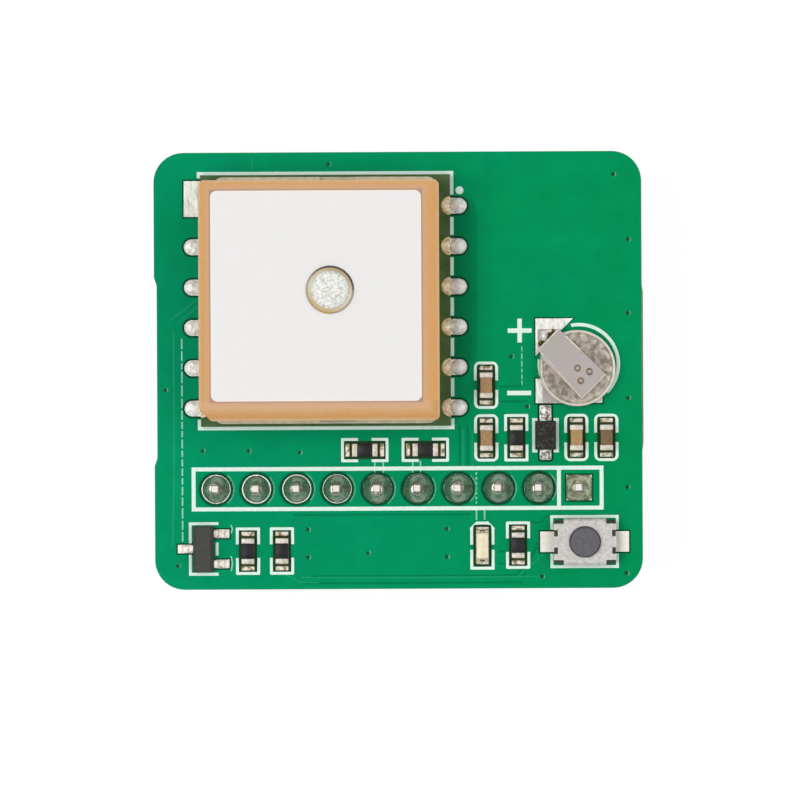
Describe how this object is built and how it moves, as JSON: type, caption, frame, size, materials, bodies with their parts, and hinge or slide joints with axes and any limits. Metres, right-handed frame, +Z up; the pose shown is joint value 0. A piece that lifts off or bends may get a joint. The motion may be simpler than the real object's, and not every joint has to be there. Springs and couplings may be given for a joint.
{
  "type": "gps module",
  "caption": "Satellite positioning receiver with a ceramic patch antenna on a small carrier board, with a backup cell, a push button, an indicator lamp and a pin header below.",
  "frame": {"origin": "middle of the row of header pins, on the seating plane under the plastic header body", "axes": "+X along the pin row, +Y across the board towards the antenna, +Z up out of the board's component side"},
  "size_m": [0.0308, 0.0275, 0.017],
  "materials": {
    "solder_mask": "green solder mask over glass fibre board, semi-gloss",
    "olive_mask": "dark olive solder mask",
    "legend_ink": "white printed legend",
    "tinned_copper": "tinned copper, bright",
    "gold_plating": "thin gold plating",
    "solder": "reflowed solder, bright",
    "tinned_steel": "tinned sheet, satin",
    "moulded_epoxy": "moulded epoxy",
    "nickel_lid": "nickel plated lid",
    "bonding_tape": "double-sided tape",
    "fired_silver": "fired silver paste, matt",
    "dielectric_ceramic": "unglazed dielectric ceramic, satin",
    "header_nylon": "black nylon",
    "stainless_steel": "stainless sheet, satin",
    "gasket": "sealing ring",
    "silver_plating": "silver plated strip",
    "plunger_nylon": "dark grey nylon",
    "white_substrate": "white laminate",
    "lamp_die": "lamp die",
    "lamp_resin": "cast resin, cloudy",
    "resistor_glaze": "alumina strip with dark glaze on top",
    "capacitor_ceramic": "brown sintered ceramic"
  },
  "bodies": {
    "module": {"board": "solder_mask", "board_pads": "tinned_copper", "board_print": "legend_ink", "receiver_board": "olive_mask", "receiver_edge_plating": "gold_plating", "receiver_solder": "solder", "receiver_shield": "tinned_steel", "receiver_chip": "moulded_epoxy", "band_filter": "moulded_epoxy", "reference_oscillator": "nickel_lid", "clock_crystal": "nickel_lid", "low_noise_amplifier": "moulded_epoxy", "antenna_tape": "bonding_tape", "antenna_ground_plane": "fired_silver", "antenna_ceramic": "dielectric_ceramic", "antenna_patch": "fired_silver", "antenna_feed_pin": "gold_plating", "antenna_feed_solder": "solder", "header_body": "header_nylon", "header_pins": "gold_plating", "header_solder": "solder", "cell_case": "stainless_steel", "cell_cap": "stainless_steel", "cell_gasket": "gasket", "cell_top_tab": "stainless_steel", "cell_bottom_tab": "stainless_steel", "button_base": "header_nylon", "button_terminals": "silver_plating", "button_dome": "stainless_steel", "button_cover": "tinned_steel", "lamp_base": "white_substrate", "lamp_terminals": "gold_plating", "lamp_die": "lamp_die", "lamp_lens": "lamp_resin", "diode_body": "moulded_epoxy", "diode_leads": "tinned_copper", "transistor_body": "moulded_epoxy", "transistor_leads": "tinned_copper", "chip_solder": "solder", "resistor_body_1": "resistor_glaze", "resistor_caps_1": "tinned_copper", "resistor_body_2": "resistor_glaze", "resistor_caps_2": "tinned_copper", "resistor_body_3": "resistor_glaze", "resistor_caps_3": "tinned_copper", "resistor_body_4": "resistor_glaze", "resistor_caps_4": "tinned_copper", "resistor_body_5": "resistor_glaze", "resistor_caps_5": "tinned_copper", "resistor_body_6": "resistor_glaze", "resistor_caps_6": "tinned_copper", "capacitor_body_1": "capacitor_ceramic", "capacitor_caps_1": "tinned_copper", "capacitor_body_2": "capacitor_ceramic", "capacitor_caps_2": "tinned_copper", "capacitor_body_3": "capacitor_ceramic", "capacitor_caps_3": "tinned_copper", "capacitor_body_4": "capacitor_ceramic", "capacitor_caps_4": "tinned_copper"},
    "plunger": {"button_plunger": "plunger_nylon"}
  },
  "joints": [
    {"name": "button_press", "type": "slide", "parent": "module", "child": "plunger", "axis": [0, 0, -1], "range_m": [0, 0.00025], "stiffness_N_per_m": 4000, "deforming": ["button_dome"]}
  ]
}
